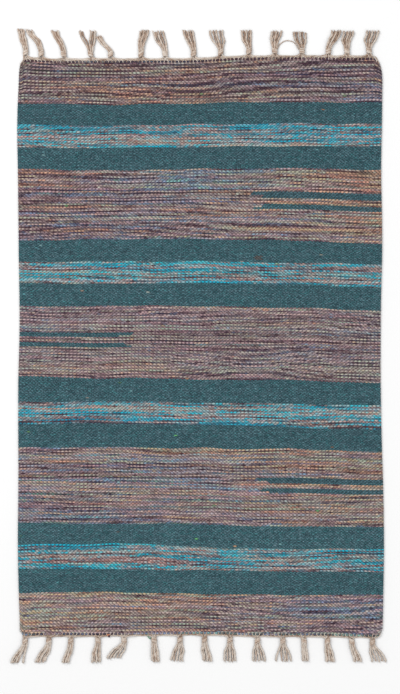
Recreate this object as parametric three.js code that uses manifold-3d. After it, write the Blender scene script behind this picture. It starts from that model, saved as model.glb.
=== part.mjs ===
// A hand-woven kilim rug lying flat: one cloth, and at each end a narrow heading of bare warps
// that run sideways into fifteen knotted tassels.
// Millimetres. +X runs across the rug, +Y along it and +Z up from the surface it lies on.
import * as THREE from "three";
import { mergeVertices } from "three/addons/utils/BufferGeometryUtils.js";
import Module from "manifold-3d";

const wasm = await Module();
wasm.setup();

// Driving dimensions.
const CLOTH = { thickness: 4, round: 1.2, pointStep: 30, cornerPoints: 5 };
const PIECE_GAP = 0.3;
const KNOT = { width: 11, length: 9, height: 6.4, sides: 8, rings: 5 };
const HEADING = { thickness: 2.4, round: 0.7 };

// The strands of a tassel: height is a strand's, pitch the distance from one tip to the next.
const STRAND = { height: 1.9, pitch: 2.4, fewest: 4, most: 10, riseInKnot: 1.8, ragged: 1.6 };

// The width of a strand at evenly spaced places from the middle of its knot to its tip.
const STRAND_WIDTHS = [0.5, 1.2, 1.5, 1.5];

// The scallop of the heading beside a knot: how much of its extra width is left at a distance.
const SCALLOP = [
  { beside: -14, share: 0 },
  { beside: -7, share: 0.45 },
  { beside: 0, share: 1 },
  { beside: 7, share: 0.45 },
  { beside: 14, share: 0 },
];

// The side edges: how far each lies from the centre line at a place along the rug.
const SIDES = [
  { along: -450, left: 296.6, right: 300.8 },
  { along: -405, left: 298.2, right: 301.6 },
  { along: -328, left: 299.8, right: 302.8 },
  { along: -219, left: 298.8, right: 301.1 },
  { along: -165, left: 299.0, right: 299.3 },
  { along: -53, left: 299.0, right: 297.2 },
  { along: 11, left: 297.2, right: 297.2 },
  { along: 67, left: 296.9, right: 297.6 },
  { along: 142, left: 298.2, right: 299.5 },
  { along: 208, left: 298.8, right: 299.5 },
  { along: 292, left: 299.8, right: 298.0 },
  { along: 366, left: 301.0, right: 299.3 },
  { along: 438, left: 298.2, right: 300.0 },
];

// The end edges: how far each lies from the middle of the rug at a place across it.
const ENDS = [
  { across: -292, top: 473.3, bottom: 475.6 },
  { across: -253, top: 470.0, bottom: 474.5 },
  { across: -190, top: 470.0, bottom: 475.1 },
  { across: -115, top: 470.0, bottom: 473.8 },
  { across: -60, top: 470.1, bottom: 473.4 },
  { across: -16, top: 470.3, bottom: 472.6 },
  { across: 23, top: 472.3, bottom: 473.0 },
  { across: 66, top: 474.6, bottom: 474.6 },
  { across: 110, top: 475.0, bottom: 475.1 },
  { across: 164, top: 475.2, bottom: 475.2 },
  { across: 240, top: 474.6, bottom: 476.2 },
  { across: 290, top: 475.5, bottom: 477.4 },
];

// How far each corner is drawn in, across and along the rug.
const CORNERS = {
  topLeft: { across: 7, along: 35 },
  topRight: { across: 14, along: 37 },
  bottomLeft: { across: 3, along: 7 },
  bottomRight: { across: 11, along: 20 },
};

// One row for each tassel, from left to right. x is its knot. lean is how far its tip lies to the
// side of the knot, spread the width of its tip, bow how far its middle swings out, and reach the
// distance from knot to tip. part is the share of strands that lie to the left of a parting, and
// gap the width of that parting.
const TOP = {
  direction: 1,
  heading: { from: -291, to: 284, atKnots: 6, between: 3.6 },
  tassels: [
    { x: -286.8, lean: -7.9, spread: 9.9, bow: 0, reach: 43, part: 0, gap: 0 },
    { x: -261.4, lean: -19.7, spread: 9.2, bow: 3.5, reach: 44, part: 0, gap: 0 },
    { x: -224.4, lean: -15.1, spread: 9.4, bow: 1.5, reach: 44, part: 0, gap: 0 },
    { x: -180.0, lean: -5.2, spread: 17.0, bow: 0.5, reach: 44, part: 0.3, gap: 10 },
    { x: -147.1, lean: -19.6, spread: 7.0, bow: -1.5, reach: 35, part: 0, gap: 0 },
    { x: -97.0, lean: 5.4, spread: 11.3, bow: -2, reach: 44, part: 0, gap: 0 },
    { x: -57.5, lean: -11.5, spread: 16.4, bow: -0.5, reach: 43, part: 0, gap: 0 },
    { x: -10.7, lean: -9.0, spread: 14.8, bow: 0, reach: 43, part: 0, gap: 0 },
    { x: 34.0, lean: -7.7, spread: 21.4, bow: 0, reach: 41, part: 0, gap: 0 },
    { x: 80.5, lean: -4.1, spread: 14.8, bow: -2, reach: 39, part: 0, gap: 0 },
    { x: 122.8, lean: 3.5, spread: 14.8, bow: -2, reach: 38, part: 0, gap: 0 },
    { x: 167.7, lean: -4.1, spread: 19.7, bow: 0, reach: 36, part: 0, gap: 0 },
    { x: 211.2, lean: 13.8, spread: 13.0, bow: 0, reach: 39, part: 0, gap: 0 },
    { x: 241.6, lean: 3.0, spread: 15.4, bow: -2.5, reach: 38, part: 0, gap: 0 },
    { x: 277.8, lean: 6.6, spread: 19.7, bow: -1.5, reach: 38, part: 0, gap: 0 },
  ],
};
const BOTTOM = {
  direction: -1,
  heading: { from: -293, to: 290, atKnots: 3.6, between: 2.2 },
  tassels: [
    { x: -287.7, lean: -12.8, spread: 13.0, bow: 0, reach: 41, part: 0.88, gap: 6 },
    { x: -248.7, lean: -14.3, spread: 15.6, bow: 1, reach: 41, part: 0, gap: 0 },
    { x: -212.5, lean: -8.6, spread: 10.4, bow: 1.5, reach: 41, part: 0, gap: 0 },
    { x: -167.7, lean: -3.3, spread: 13.2, bow: -1, reach: 41, part: 0, gap: 0 },
    { x: -124.9, lean: -17.6, spread: 21.4, bow: 0, reach: 36, part: 0, gap: 0 },
    { x: -75.5, lean: 2.6, spread: 11.5, bow: 0, reach: 41, part: 0, gap: 0 },
    { x: -32.9, lean: -5.4, spread: 19.0, bow: 0, reach: 41, part: 0, gap: 0 },
    { x: 7.4, lean: 4.6, spread: 13.2, bow: -0.5, reach: 41, part: 0, gap: 0 },
    { x: 49.3, lean: 0, spread: 18.0, bow: -0.5, reach: 41, part: 0, gap: 0 },
    { x: 94.5, lean: 2.5, spread: 19.0, bow: 0, reach: 39, part: 0, gap: 0 },
    { x: 136.4, lean: 0.8, spread: 19.7, bow: 0.5, reach: 39, part: 0.17, gap: 5 },
    { x: 171.0, lean: 2.1, spread: 8.0, bow: 0, reach: 38, part: 0, gap: 0 },
    { x: 209.6, lean: 4.1, spread: 12.8, bow: 0, reach: 39, part: 0, gap: 0 },
    { x: 249.9, lean: 9.4, spread: 10.4, bow: 0, reach: 38, part: 0, gap: 0 },
    { x: 283.6, lean: 11.5, spread: 22.0, bow: 0, reach: 38, part: 0, gap: 0 },
  ],
};

const FINISH = {
  cloth: new THREE.MeshStandardMaterial({ color: 0x6c6e75, roughness: 0.92, metalness: 0 }),
  warp: new THREE.MeshStandardMaterial({ color: 0xd7c8b4, roughness: 0.88, metalness: 0 }),
};

// A smooth function through one column of a table.
function smoothColumn(rows, place, value) {
  const places = rows.map((row) => row[place]);
  const values = rows.map((row) => row[value]);
  const curve = new THREE.CubicInterpolant(places, values, 1);
  return (at) => curve.evaluate(at)[0];
}

const leftEdge = smoothColumn(SIDES, "along", "left");
const rightEdge = smoothColumn(SIDES, "along", "right");
const topEdge = smoothColumn(ENDS, "across", "top");
const bottomEdge = smoothColumn(ENDS, "across", "bottom");

// The whole steps that lie between two places, in the order from the first to the second.
function stepsBetween(from, to) {
  const low = Math.min(from, to);
  const high = Math.max(from, to);
  const steps = [];
  const first = Math.floor(low / CLOTH.pointStep) + 1;
  for (let at = first * CLOTH.pointStep; at < high; at += CLOTH.pointStep) steps.push(at);
  return from < to ? steps : steps.reverse();
}

// A corner of the cloth as a quarter ellipse, from the side edge round to the end edge.
function cornerArc(sideSign, endSign, size) {
  const side = sideSign > 0 ? rightEdge : leftEdge;
  const end = endSign > 0 ? topEdge : bottomEdge;
  const sideStation = endSign > 0 ? SIDES[SIDES.length - 1].along : SIDES[0].along;
  const x = sideSign * (side(sideStation) - size.across);
  const y = endSign * (end(x) - size.along);
  const points = [];
  for (let i = 0; i <= CLOTH.cornerPoints; i++) {
    const angle = ((i / CLOTH.cornerPoints) * Math.PI) / 2;
    const across = sideSign * size.across * Math.cos(angle);
    const along = endSign * size.along * Math.sin(angle);
    points.push(new THREE.Vector2(x + across, y + along));
  }
  return points;
}

// The cloth's whole outline, anticlockwise from the bottom left corner.
function clothOutline() {
  const bottomLeft = cornerArc(-1, -1, CORNERS.bottomLeft);
  const bottomRight = cornerArc(1, -1, CORNERS.bottomRight).reverse();
  const topRight = cornerArc(1, 1, CORNERS.topRight);
  const topLeft = cornerArc(-1, 1, CORNERS.topLeft).reverse();
  const across = (start, end, edge, sign) =>
    stepsBetween(start.x, end.x).map((x) => new THREE.Vector2(x, sign * edge(x)));
  const along = (start, end, edge, sign) =>
    stepsBetween(start.y, end.y).map((y) => new THREE.Vector2(sign * edge(y), y));
  return [
    ...bottomLeft,
    ...across(bottomLeft.at(-1), bottomRight[0], bottomEdge, -1),
    ...bottomRight,
    ...along(bottomRight.at(-1), topRight[0], rightEdge, 1),
    ...topRight,
    ...across(topRight.at(-1), topLeft[0], topEdge, 1),
    ...topLeft,
    ...along(topLeft.at(-1), bottomLeft[0], leftEdge, -1),
  ];
}

// A flat plate with this outline, its edges rounded, lying on z = 0.
function roundedPlate(outline, thickness, round) {
  const plate = new THREE.ExtrudeGeometry(new THREE.Shape(outline), {
    depth: thickness - 2 * round,
    bevelThickness: round,
    bevelSize: round,
    bevelOffset: -round,
    bevelSegments: 1,
  });
  return plate.translate(0, 0, round);
}

// The heading of bare warps along one end of the cloth, scalloped out to each knot.
function headingGeometry(end) {
  const edge = end.direction > 0 ? topEdge : bottomEdge;
  const { from, to, between, atKnots } = end.heading;
  const inner = [from, ...stepsBetween(from, to), to].map((x) => [x, edge(x) + PIECE_GAP]);
  const scallops = end.tassels.flatMap((tassel) =>
    SCALLOP.map(({ beside, share }) => {
      const x = tassel.x + beside;
      return [x, edge(x) + PIECE_GAP + THREE.MathUtils.lerp(between, atKnots, share)];
    }),
  );
  const within = scallops.filter(([x]) => x > from && x < to);
  const corner = (x) => [x, edge(x) + PIECE_GAP + between];
  const outer = [corner(from), ...within, corner(to)];
  const outline = [...inner, ...outer.reverse()];
  const points = outline.map(([x, y]) => new THREE.Vector2(x, end.direction * y));
  return roundedPlate(points, HEADING.thickness, HEADING.round);
}

// A closed three.js geometry as a solid that can be joined to another.
function solidOf(geometry) {
  geometry.deleteAttribute("normal");
  geometry.deleteAttribute("uv");
  const merged = mergeVertices(geometry, 1e-4);
  const mesh = new wasm.Mesh({
    numProp: 3,
    vertProperties: merged.attributes.position.array,
    triVerts: new Uint32Array(merged.index.array),
  });
  return new wasm.Manifold(mesh);
}

// A solid back as a three.js geometry.
function geometryOf(solid) {
  const mesh = solid.getMesh();
  const geometry = new THREE.BufferGeometry();
  geometry.setAttribute("position", new THREE.BufferAttribute(mesh.vertProperties, mesh.numProp));
  geometry.setIndex(new THREE.BufferAttribute(mesh.triVerts, 1));
  geometry.computeVertexNormals();
  return geometry;
}

// The knot: a rounded lump of wound yarn that sits on the surface with a flat underside.
function knotGeometry(centre) {
  const lump = new THREE.SphereGeometry(1, KNOT.sides, KNOT.rings);
  lump.rotateX(Math.PI / 2);
  const middle = KNOT.height * 0.42;
  lump.scale(KNOT.width / 2, KNOT.length / 2, KNOT.height - middle);
  lump.translate(centre.x, centre.y, middle);
  const position = lump.attributes.position;
  for (let i = 0; i < position.count; i++) position.setZ(i, Math.max(0, position.getZ(i)));
  return lump;
}

// One strand: a four-sided bar bent along its path, down from the knot and then level on the surface.
function strandGeometry(path) {
  const segments = STRAND_WIDTHS.length - 1;
  const bar = new THREE.BoxGeometry(1, 1, STRAND.height, 1, segments, 1);
  const position = bar.attributes.position;
  for (let i = 0; i < position.count; i++) {
    const along = position.getY(i) + 0.5;
    const station = Math.round(along * segments);
    const point = path.getPoint(along);
    const tangent = path.getTangent(along);
    const rise = station === 0 ? STRAND.riseInKnot : 0;
    const side = position.getX(i) * STRAND_WIDTHS[station];
    const height = position.getZ(i) + STRAND.height / 2 + rise;
    position.setXYZ(i, point.x + side * tangent.y, point.y - side * tangent.x, height);
  }
  return bar;
}

// One tassel: its knot and the strands that fan out of it.
function tasselGeometry(end, tassel) {
  const edge = end.direction > 0 ? topEdge : bottomEdge;
  const knotStart = edge(tassel.x) + end.heading.atKnots + 2 * PIECE_GAP;
  const knot = new THREE.Vector2(tassel.x, end.direction * (knotStart + KNOT.length / 2));
  let solid = solidOf(knotGeometry(knot));
  const wanted = Math.round(tassel.spread / STRAND.pitch) + 1;
  const count = THREE.MathUtils.clamp(wanted, STRAND.fewest, STRAND.most);
  for (let i = 0; i < count; i++) {
    const share = i / (count - 1) - 0.5;
    const parting = tassel.gap * (share + 0.5 < tassel.part ? -0.5 : 0.5);
    const tipSide = tassel.lean + share * tassel.spread + parting;
    const reach = tassel.reach + STRAND.ragged * Math.sin(2.4 * i + tassel.x);
    const root = new THREE.Vector2(knot.x + share * KNOT.width * 0.62, knot.y);
    const bend = new THREE.Vector2(
      knot.x + tassel.bow + tassel.lean * 0.42 + share * tassel.spread * 0.95 + parting * 0.2,
      knot.y + end.direction * reach * 0.42,
    );
    const tip = new THREE.Vector2(
      knot.x + tipSide,
      end.direction * (knotStart + reach),
    );
    solid = solid.add(solidOf(strandGeometry(new THREE.QuadraticBezierCurve(root, bend, tip))));
  }
  return geometryOf(solid);
}

// A named piece of the rug.
function piece(name, geometry, material) {
  const mesh = new THREE.Mesh(geometry, material);
  mesh.name = name;
  return mesh;
}

const rug = new THREE.Group();
const clothPlate = roundedPlate(clothOutline(), CLOTH.thickness, CLOTH.round);
rug.add(piece("cloth", clothPlate, FINISH.cloth));
for (const [name, end] of Object.entries({ top: TOP, bottom: BOTTOM })) {
  rug.add(piece(`heading_${name}`, headingGeometry(end), FINISH.warp));
  end.tassels.forEach((tassel, i) => {
    const number = String(i + 1).padStart(2, "0");
    rug.add(piece(`tassel_${name}_${number}`, tasselGeometry(end, tassel), FINISH.warp));
  });
}

// The origin is the middle of the rug's underside.
const middle = new THREE.Box3().setFromObject(rug).getCenter(new THREE.Vector3());
rug.position.set(-middle.x, -middle.y, 0);

export default rug;
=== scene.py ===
"""A hand-woven kilim rug lying flat: a weft-faced cloth in seventeen bands, bare cotton warps along
each end and thirty knotted tassels. The rug and the view of it are laid out in millimetres, which MM
turns into metres. The height of the camera, the lamps and the floor are given in metres."""

import math
from itertools import zip_longest
from types import SimpleNamespace as Settings

import bpy
import numpy as np
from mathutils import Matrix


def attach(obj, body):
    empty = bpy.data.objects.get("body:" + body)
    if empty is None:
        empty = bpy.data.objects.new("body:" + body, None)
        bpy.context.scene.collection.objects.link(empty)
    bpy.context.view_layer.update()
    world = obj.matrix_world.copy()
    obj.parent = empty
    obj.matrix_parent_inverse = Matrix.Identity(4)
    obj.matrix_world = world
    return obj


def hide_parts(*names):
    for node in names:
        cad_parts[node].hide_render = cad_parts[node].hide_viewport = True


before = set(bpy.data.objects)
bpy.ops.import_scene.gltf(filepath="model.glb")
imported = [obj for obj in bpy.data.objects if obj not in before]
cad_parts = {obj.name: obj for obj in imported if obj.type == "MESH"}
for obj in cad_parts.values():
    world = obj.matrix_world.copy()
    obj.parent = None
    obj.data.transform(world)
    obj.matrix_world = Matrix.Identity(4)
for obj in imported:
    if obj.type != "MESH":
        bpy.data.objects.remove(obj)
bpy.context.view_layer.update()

MM = 0.001
SEED = Settings(weave=41, flecks=100, fringe=7)

# The photograph: its size in pixels, what one pixel covers and the point that its middle shows.
VIEW = Settings(pixels=(400, 694), pixel=1.6438, across=1.94, along=-1.47)
CAMERA = Settings(height=3.4, sensor=36.0, near=0.1, far=50.0)

# The lattice of the weave: floats stand on every second of its points. PICK is the distance from
# one pick to the next in each yarn.
WARPS = 194
PICK = {"teal": 2.22, "turquoise": 2.47, "mauve": 2.47}
WEAVE = Settings(
    thickness=4.0,
    # How deep the grooves between floats are, and the share by which that varies.
    valley=1.25,
    valley_varies=0.2,
    # How much lower than the others a float lies by chance, and the most that it may be.
    uneven=0.25,
    most_uneven=0.6,
    # How far a float's ridge reaches to each side, in warps, and its flanks up and down, in picks.
    ridge_reach=0.36,
    float_reach=0.7,
    # The selvedges: how wide the outermost step is, how far every second turn is pulled in, how high
    # the next floats stand, and where the crown of a turn lies, in steps inward and in float heights.
    selvedge_step=0.55,
    selvedge_loop=0.45,
    selvedge_fall=0.8,
    crown_in=0.5,
    crown_high=0.72,
    # How wide the rug is laid out at first, against the places where the bands are measured.
    layout=1.025,
)
# What varies by chance, as layers: the weight of each, and over how many picks and how many warps it
# stays alike.
LAYERS = {
    # How far the edges of bands, wefts and warps stray, in millimetres.
    "edge": [(0.7, 0.01, 6)],
    "weft": [(0.26, 0.6, 9)],
    "warp": [(0.3, 12, 0.5)],
    "drift": [(0.9, 50, 6)],
    # The height and the slant of floats, the shades of whole areas, and where the darker picks of a
    # melange change places with the lighter ones.
    "float": [(1.0, 0.3, 0.3)],
    "slant": [(2.0, 6, 8)],
    "cloud": [(1.0, 5, 24)],
    "turning": [(1.8, 6, 24)],
    # What the floats of a pick share.
    "shade": [(0.85, 0.45, 20), (0.55, 0.3, 4)],
    "light": [(0.8, 0.25, 40), (0.75, 0.25, 3)],
    "cast": [(0.8, 0.3, 34), (0.6, 0.25, 3)],
}
# How sharply lighter and darker picks alternate.
ALTERNATE_SHARPNESS = 2.2


def table(columns, rows):
    """A table's rows as settings. What a row leaves out at its end is 0."""
    return [Settings(**dict(zip_longest(columns.split(), row, fillvalue=0))) for row in rows]


# The yarns of the bands from the top down, and the lower edges of all bands but the last, which ends
# with the cloth. Each edge is given at five places across the rug, in millimetres from the middle.
YARNS = ("mauve", "teal", "turquoise", "teal") * 4 + ("mauve",)
BAND_PLACES = (-287.4, -142.7, 1.9, 146.6, 294.5)
LOWER_EDGES = [
    (399.2, 395.9, 400.0, 401.5, 400.5),
    (364.6, 361.8, 365.1, 365.9, 365.2),
    (325.6, 326.0, 326.8, 329.5, 328.4),
    (292.3, 287.9, 291.1, 292.0, 290.9),
    (173.2, 175.1, 176.9, 174.2, 167.5),
    (139.6, 138.1, 139.9, 136.7, 134.5),
    (104.9, 103.2, 104.0, 100.6, 95.5),
    (67.0, 65.7, 65.9, 62.6, 58.8),
    (-50.7, -53.7, -54.5, -56.2, -61.5),
    (-91.1, -89.4, -91.8, -94.7, -97.0),
    (-128.3, -127.1, -129.6, -132.5, -138.0),
    (-167.7, -165.4, -168.4, -168.9, -174.1),
    (-290.0, -291.4, -293.8, -297.0, -297.5),
    (-327.5, -323.6, -329.8, -334.3, -333.3),
    (-367.4, -366.8, -368.4, -370.1, -373.4),
    (-405.3, -403.8, -408.7, -409.1, -408.4),
]

# Short teal lines in the mauve bands. side is 1 for a line at the right and -1 at the left, from_top
# how far below the band's upper edge it starts, and upper and lower where its upper and its lower
# picks end, across the rug.
LINES = table("band side from_top picks upper lower", [
    (4, 1, 37.6, 4, 85.8, 103.9),
    (4, 1, 56.8, 3, 103.9, 91.5),
    (8, -1, 43.5, 3, -109.8, -129.5),
    (8, -1, 61.8, 3, -121.3, -111.5),
    (12, 1, 47.0, 4, 97.3, 115.4),
    (12, 1, 63.7, 3, 103.9, 113.7),
])
# How light their floats are: a base, and the share of the band's own lightness that shows.
LINE_TONE = Settings(base=0.3, share=0.25)

# The shades that the mauve melange passes through: the place of each, from 0 to 1 on the yarn's
# colour ramps, and the colours of its light and its dark strands.
MAUVE = {
    "peach": (0.0, (228, 182, 152), (76, 42, 48)),
    "sand": (0.2, (208, 194, 178), (66, 42, 50)),
    "rose": (0.4, (202, 178, 174), (66, 36, 52)),
    "lilac": (0.6, (188, 184, 188), (58, 38, 56)),
    "blue": (0.8, (146, 172, 200), (48, 42, 68)),
    "mint": (1.0, (160, 208, 188), (52, 46, 60)),
}

# How the melange of each mauve band drifts: its shades at the left, the middle and the right, in the
# band's upper part and in its lower part. Bands are counted from 0 at the top.
DRIFT_PLACES = (0.0, 0.5, 1.0)
DRIFT = {
    0: ("rose rose rose", "rose sand lilac"),
    4: ("sand lilac peach", "lilac rose sand"),
    8: ("rose rose rose", "rose rose rose"),
    12: ("rose rose sand", "lilac rose sand"),
    16: ("sand sand lilac", "sand rose lilac"),
}

# What sets one band apart from the others of its yarn: how much lighter it is, how much lighter and
# how much greener its right end is than its left one, and how much its shades vary.
PLAIN = (0.0, 0.0, 0.0, 1.0)
CHARACTER = {
    0: (-0.13, -0.04, -0.1, 0.85),
    1: (-0.04, 0.0, 0.0, 1.0),
    3: (-0.04, 0.0, 0.0, 1.0),
    4: (0.0, 0.16, 0.2, 1.15),
    8: (0.01, 0.0, 0.06, 0.45),
    12: (0.07, 0.04, 0.12, 1.35),
    13: (0.07, 0.0, 0.0, 1.0),
    15: (0.05, 0.0, 0.0, 1.0),
    16: (0.11, -0.22, -0.1, 1.1),
}
# The cloth's first and last picks, against the rest of their bands.
OUTER_PICKS = table("darker bluer", [(0.4, 0.16), (0.14, 0.28)])

# How the floats vary, in the mauve melange, the turquoise melange and the teal yarn.
MIXES = {
    # How light they are on the whole, and what every second pick adds.
    "light": (0.51, 0.63, 0.47),
    "alternate": (0.25, 0.26, 0.05),
    # What each pick, each float and each tuft of it adds by chance.
    "pick": (0.145, 0.17, 0.02),
    "grain": (0.1, 0.1, 0.09),
    "fleck": (0.1, 0.1, 0.28),
    # The middle of the colour ramp, and how far picks, every second pick, whole areas and single
    # floats stray from it.
    "shade": (0.4, 0.49, 0.5),
    "pick_shade": (0.14, 0.2, 0.0),
    "alternate_shade": (-0.11, 0.12, 0.0),
    "cloud": (0.04, 0.02, 0.0),
    "scatter": (0.08, 0.12, 0.25),
    # How far picks stray between plum and green, and how much greener the light floats are.
    "cast": (0.2, 0.13, 0.0),
    "light_cast": (0.4, 0.3, 0.0),
    # How far the ends of a float lie above or below its middle, in picks.
    "slant": (0.24, 0.26, 0.08),
}
MIXING = {
    yarn: Settings(**{key: values[n] for key, values in MIXES.items()})
    for n, yarn in enumerate(("mauve", "turquoise", "teal"))
}

# Stray tufts: the share of floats that hold one, how much of the yarn's own colour it hides at
# least, and how much more by chance. TUFTS are their shades, at places on their own colour ramp.
NEPS = Settings(share=0.0015, least=0.35, more=0.6)
TUFTS = {
    "cream": (0.0, (214, 206, 190)),
    "turquoise": (0.25, (60, 176, 190)),
    "orange": (0.45, (206, 150, 100)),
    "rust": (0.55, (92, 66, 54)),
    "green": (0.7, (110, 190, 120)),
    "soot": (0.85, (44, 34, 36)),
    "white": (1.0, (226, 224, 214)),
}
# Tufts that stand out, in millimetres from the middle: a length of sooty yarn near the upper left
# corner, a rusty stain in the sixth band and a green tuft in the twelfth. share is how much of the
# yarn's own colour they hide.
MARKS = table("x y half tall hue share", [
    (-262.0, 452.5, 12.0, 1.3, "soot", 0.9),
    (97.0, 145.5, 5.0, 3.6, "rust", 0.6),
    (-37.5, -147.5, 1.8, 1.6, "green", 0.9),
])


def rgb(red, green, blue):
    """A colour given in sRGB steps of 0 to 255, as Blender's linear one."""
    steps = (red / 255, green / 255, blue / 255)
    linear = [s / 12.92 if s <= 0.04045 else ((s + 0.055) / 1.055) ** 2.4 for s in steps]
    return (*linear, 1.0)


class Nodes:
    """Builds a material's node tree, a call for each node."""

    def __init__(self, name):
        self.material = bpy.data.materials.new(name)
        self.material.use_nodes = True
        self.tree = self.material.node_tree
        self.shader = self.tree.nodes["Principled BSDF"]

    def put(self, socket, value):
        """Sets a socket to a value, or links it where the value is another node's output."""
        if isinstance(value, bpy.types.NodeSocket):
            self.tree.links.new(value, socket)
        else:
            socket.default_value = value

    def add(self, kind, settings=None, **inputs):
        node = self.tree.nodes.new("ShaderNode" + kind)
        for key, value in (settings or {}).items():
            setattr(node, key, value)
        for key, value in inputs.items():
            self.put(node.inputs[key.replace("_", " ")], value)
        return node

    def math(self, operation, *values):
        node = self.add("Math", {"operation": operation})
        for socket, value in zip(node.inputs, values):
            self.put(socket, value)
        return node.outputs[0]

    def wave(self, kind, turns):
        """Goes from 0 to 1 and back once a turn."""
        angle = self.math("MULTIPLY", turns, math.tau)
        return self.math("MULTIPLY_ADD", self.math(kind, angle), 0.5, 0.5)

    def ramp(self, value, stops):
        """A colour ramp through stops, each a place and an sRGB colour."""
        node = self.add("ValToRGB", Fac=value)
        elements = node.color_ramp.elements
        while len(elements) < len(stops):
            elements.new(0.5)
        for element, (place, colour) in zip(elements, stops):
            element.position = place
            element.color = rgb(*colour)
        return node.outputs["Color"]

    def mix(self, share, first, second, blend="MIX"):
        node = self.add("Mix", {"data_type": "RGBA", "blend_type": blend})
        sockets = {socket.identifier: socket for socket in (*node.inputs, *node.outputs)}
        for name, value in (("Factor_Float", share), ("A_Color", first), ("B_Color", second)):
            self.put(sockets[name], value)
        return sockets["Result_Color"]

    def tint(self, colour, filter_colour):
        return self.mix(1.0, colour, filter_colour, "MULTIPLY")

    def grey(self, light):
        return self.add("CombineColor", Red=light, Green=light, Blue=light).outputs[0]

    def noise(self, vector, scale, detail=2.0, roughness=0.5):
        return self.add(
            "TexNoise", Vector=vector, Scale=scale, Detail=detail, Roughness=roughness
        ).outputs["Fac"]

    def attribute(self, name):
        return self.add("Attribute", {"attribute_name": name}).outputs["Fac"]

    def object_place(self):
        return self.add("TexCoord").outputs["Object"]

    def finish(self, **inputs):
        for key, value in inputs.items():
            self.put(self.shader.inputs[key.replace("_", " ")], value)
        return self.material

    def yarn(self, colour, height, relief):
        """Finishes a yarn, with a relief given by its depth and its strength."""
        depth, strength = relief
        bump = self.add("Bump", Height=height, Distance=depth * MM, Strength=strength)
        return self.finish(Base_Color=colour, Normal=bump.outputs["Normal"], **YARN_FINISH)


# How the yarns' surfaces answer light.
YARN_FINISH = {"Roughness": 0.9, "Sheen_Weight": 0.12, "Sheen_Roughness": 0.5}

# The shades of the other yarns, at places from 0 to 1 on their colour ramps.
TURQUOISE_LIGHT = [
    (0.0, (216, 176, 160)), (0.3, (202, 198, 190)), (0.52, (164, 204, 208)),
    (0.72, (80, 202, 218)), (1.0, (16, 190, 216)),
]
TURQUOISE_DARK = [(0.0, (76, 46, 56)), (0.5, (60, 52, 68)), (1.0, (36, 76, 96))]
TEAL_SHADES = [(0.0, (33, 70, 82)), (0.5, (62, 103, 114)), (1.0, (100, 140, 152))]
# The tints that chance lays over the shades: of teal floats, and of melange picks, plum to green.
TEAL_CASTS = [(0.0, (255, 240, 240)), (0.5, (246, 250, 248)), (1.0, (206, 255, 248))]
MELANGE_CASTS = [(0.0, (255, 226, 246)), (0.5, (253, 245, 252)), (1.0, (222, 255, 250))]
# The painted shade in the grooves between floats: how light the colour is made there, where a float's
# middle is 1.
PAINTED_GROOVE_SHADE = Settings(melange=0.24, teal=0.3)

# The woven yarns: how fine their fibres and slubs are, how far the fibres are drawn out, and how much
# lightness each gives, as a factor and a base. relief is a depth in millimetres and a strength.
WEFT = Settings(
    fibres=1500, roughness=0.6, drawn_out=(0.35, 1.0, 1.0), slubs=420,
    fibre_light=(1.5, 0.25), slub_light=(0.3, 0.85), light=1.22, relief=(0.25, 0.6),
)
# The undyed warps: how many strands they are plied from, how blotchy they are, how much a yarn's own
# tone counts, and the painted shade in the grooves between strands and along a yarn's sides, darker
# away from its top.
COTTON = Settings(
    strands=3.0, blotches=150.0, blotch_share=0.7, tone_share=0.55,
    fibres=3200.0, fibre_height=0.3, relief=(0.35, 0.8),
    cream=[(0.34, (164, 136, 118)), (0.58, (214, 194, 178)), (0.8, (238, 229, 219))],
    groove_share=0.35, groove=(172, 142, 116),
    sides=[(0.5, (120, 98, 82)), (0.72, (214, 202, 190)), (0.95, (255, 255, 255))],
)
# The ends of weft: plum, orange or green by their tone.
DYED = Settings(
    fibres=2600.0, fibre_light=(1.0, 0.5), relief=(0.3, 0.8),
    shades=[(0.0, (62, 36, 54)), (0.4, (92, 50, 60)), (0.6, (220, 146, 104)), (1.0, (120, 158, 132))],
)


def yarn_surface(nodes, colour, groove):
    """Adds what every woven yarn has: stray tufts, slubs and fibres in its colour, their relief, and
    painted shade in the grooves between floats, which darkens the colour away from the tops of floats."""
    hues = nodes.ramp(nodes.attribute("nep_hue"), list(TUFTS.values()))
    colour = nodes.mix(nodes.attribute("nep"), colour, hues)
    place = nodes.object_place()
    stretched = nodes.add("Mapping", Vector=place, Scale=WEFT.drawn_out).outputs["Vector"]
    fibres = nodes.noise(stretched, WEFT.fibres, roughness=WEFT.roughness)
    slubs = nodes.noise(place, WEFT.slubs, detail=1.0)
    light = nodes.math("MULTIPLY_ADD", fibres, *WEFT.fibre_light)
    light = nodes.math("MULTIPLY", light, nodes.math("MULTIPLY_ADD", slubs, *WEFT.slub_light))
    light = nodes.math("MULTIPLY", light, WEFT.light)
    # Painted shade: the colour is darkened away from the tops of floats, in the grooves between them.
    shade = nodes.math("MULTIPLY_ADD", nodes.attribute("crown"), 1.0 - groove, groove)
    light = nodes.math("MULTIPLY", light, shade)
    return nodes.yarn(nodes.tint(colour, nodes.grey(light)), fibres, WEFT.relief)


def melange(name, light_stops, dark_stops):
    """A yarn whose light and dark strands each drift through their own shades."""
    nodes = Nodes(name)
    drift = nodes.attribute("drift")
    light = nodes.ramp(drift, light_stops)
    dark = nodes.ramp(drift, dark_stops)
    colour = nodes.mix(nodes.attribute("tone"), dark, light)
    cast = nodes.ramp(nodes.attribute("cast"), MELANGE_CASTS)
    return yarn_surface(nodes, nodes.tint(colour, cast), PAINTED_GROOVE_SHADE.melange)


def teal_yarn():
    nodes = Nodes("teal_yarn")
    shade = nodes.ramp(nodes.attribute("tone"), TEAL_SHADES)
    cast = nodes.ramp(nodes.attribute("drift"), TEAL_CASTS)
    return yarn_surface(nodes, nodes.tint(shade, cast), PAINTED_GROOVE_SHADE.teal)


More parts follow.
